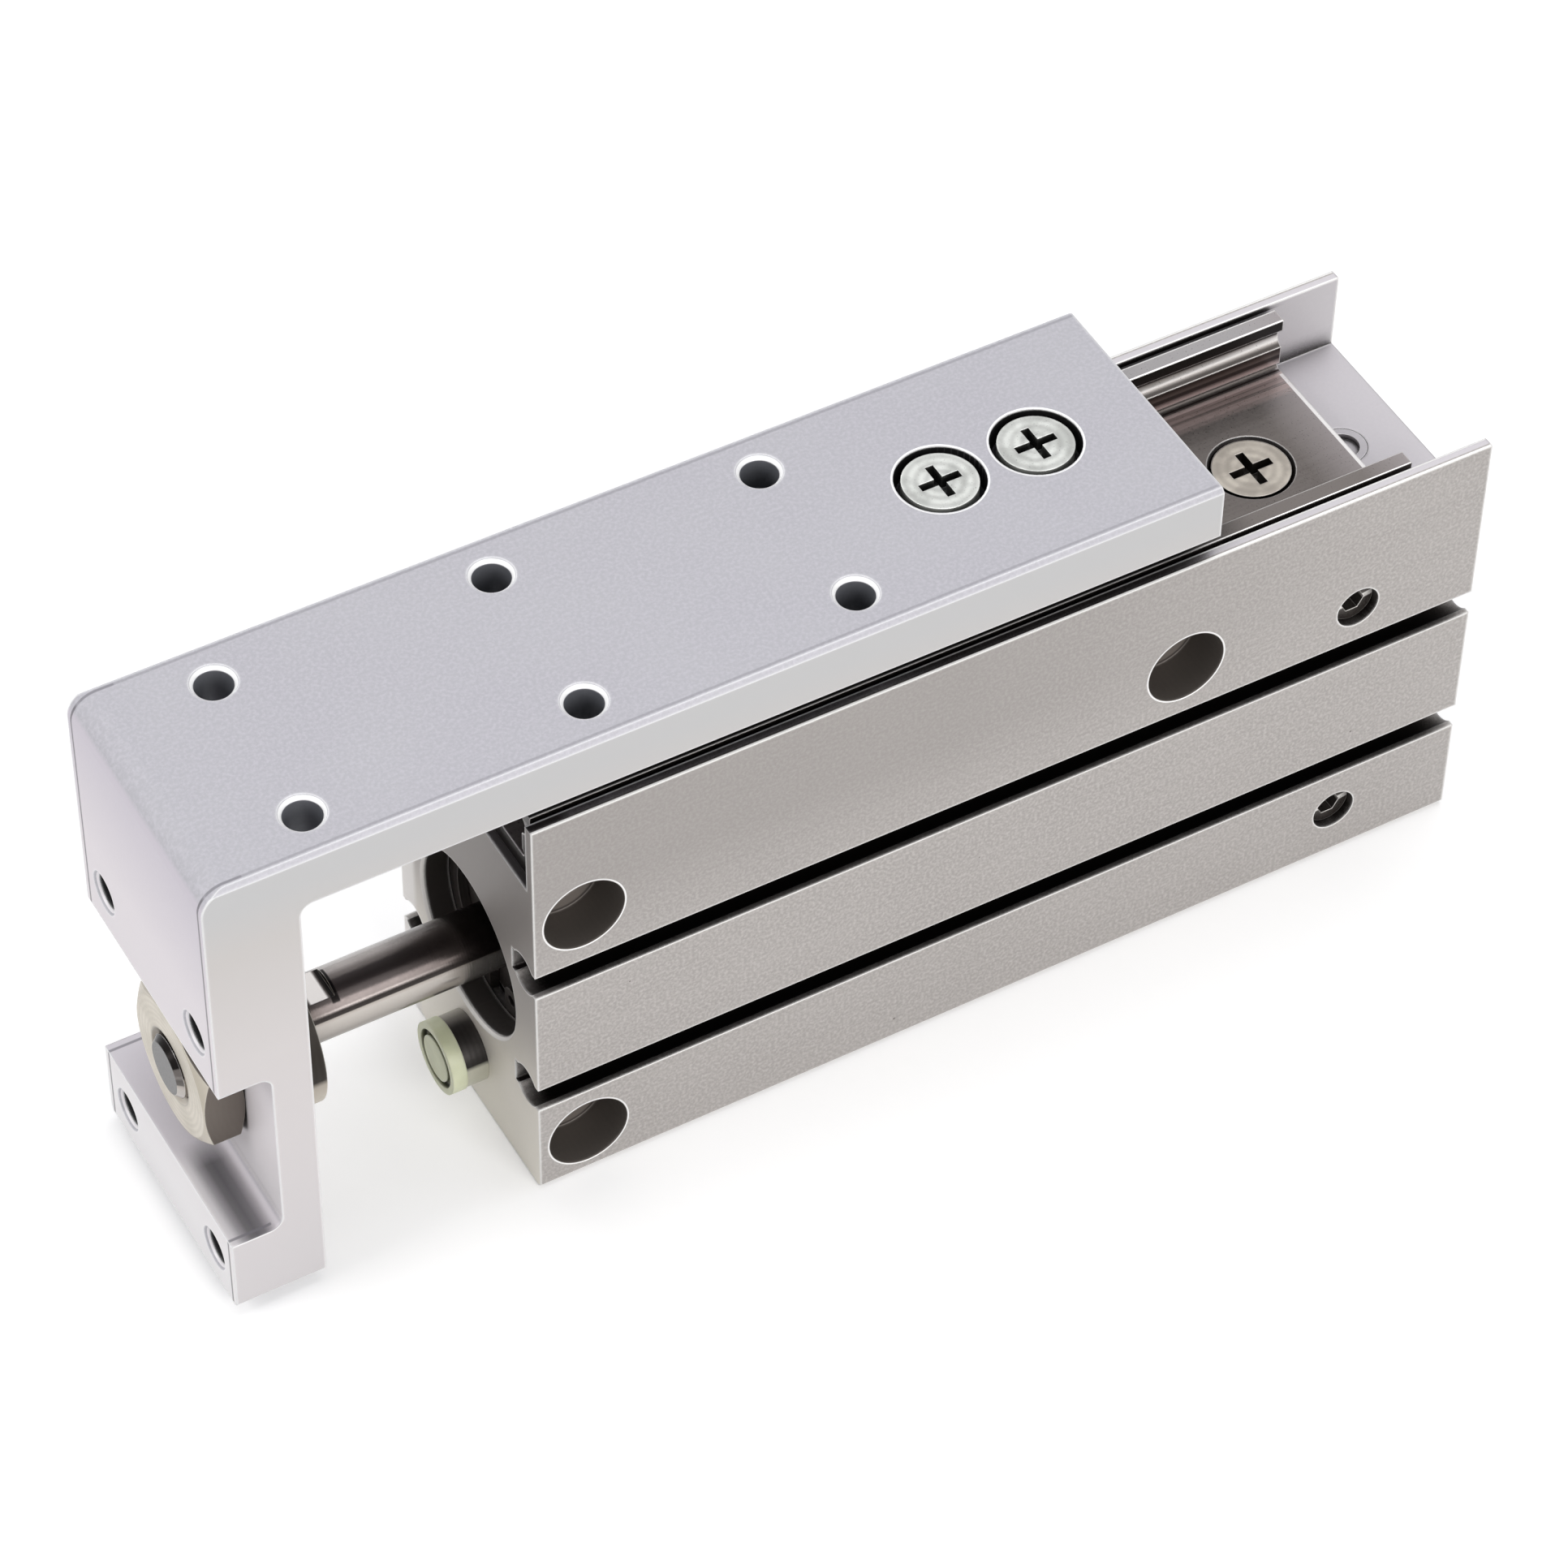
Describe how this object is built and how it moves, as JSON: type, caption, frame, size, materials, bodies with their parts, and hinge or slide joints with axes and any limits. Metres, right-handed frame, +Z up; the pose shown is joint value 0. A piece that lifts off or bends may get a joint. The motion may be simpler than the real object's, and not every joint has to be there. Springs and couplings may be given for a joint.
{
  "type": "pneumatic slide table",
  "caption": "Compact air-driven slide: an extruded body with a channel rail on top and an L-shaped table moved along it by a piston rod.",
  "frame": {"origin": "centre of the body's bottom face", "axes": "+X along the stroke, the way the table moves when it extends; +Y across the slide, to the side with the plugged ports; +Z up, out of the top of the table"},
  "size_m": [0.1213, 0.025, 0.053],
  "materials": {
    "body_anodised": "satin clear-anodised extrusion with fine draw lines",
    "table_anodised": "fine-milled, clear anodised",
    "rail_steel": "ground bearing steel with polished ball tracks",
    "block_steel": "ground bearing steel",
    "screw_steel": "bright plated steel",
    "dark_screw_steel": "dull plated steel",
    "plug_steel": "plain steel",
    "rod_steel": "hard-chromed and polished",
    "nut_plated": "yellow-tinted zinc plating",
    "dark_metal": "black phosphate",
    "cover_aluminium": "turned, hard anodised",
    "ball_steel": "polished bearing balls",
    "bush_bronze": "sintered bronze",
    "piston_aluminium": "turned, chromated",
    "magnet_black": "plastic-bonded ferrite",
    "seal_rubber": "nitrile rubber",
    "urethane": "pale yellow-green urethane",
    "cap_resin": "moulded resin",
    "wear_resin": "filled resin"
  },
  "bodies": {
    "cylinder": {"body": "body_anodised", "guide_rail": "rail_steel", "rail_screws": "screw_steel", "floor_plug": "plug_steel", "drilling_plugs": "plug_steel", "port_plugs": "dark_screw_steel", "rod_cover": "cover_aluminium", "rod_cover_seal": "seal_rubber", "rod_cover_ring": "dark_metal", "rod_bush": "bush_bronze", "rod_seal": "seal_rubber", "head_cover": "cover_aluminium", "head_cover_seal": "seal_rubber", "head_cover_ring": "dark_metal", "bumper_holder": "dark_metal", "stop_bumper": "urethane"},
    "slide": {"table": "table_anodised", "table_screws": "screw_steel", "guide_block": "block_steel", "block_end_caps": "cap_resin", "end_cap_screws": "dark_screw_steel", "guide_balls": "ball_steel", "piston_rod": "rod_steel", "rod_collar": "nut_plated", "rod_nut": "nut_plated", "front_cushion": "urethane", "piston_front": "piston_aluminium", "piston_seal": "seal_rubber", "magnet": "magnet_black", "piston_rear": "piston_aluminium", "wear_ring": "wear_resin", "rear_cushion": "urethane", "piston_nut": "plug_steel"}
  },
  "joints": [
    {"name": "table_slide", "type": "slide", "parent": "cylinder", "child": "slide", "axis": [1, 0, 0], "range_m": [-0.0165, 0.0335]}
  ]
}
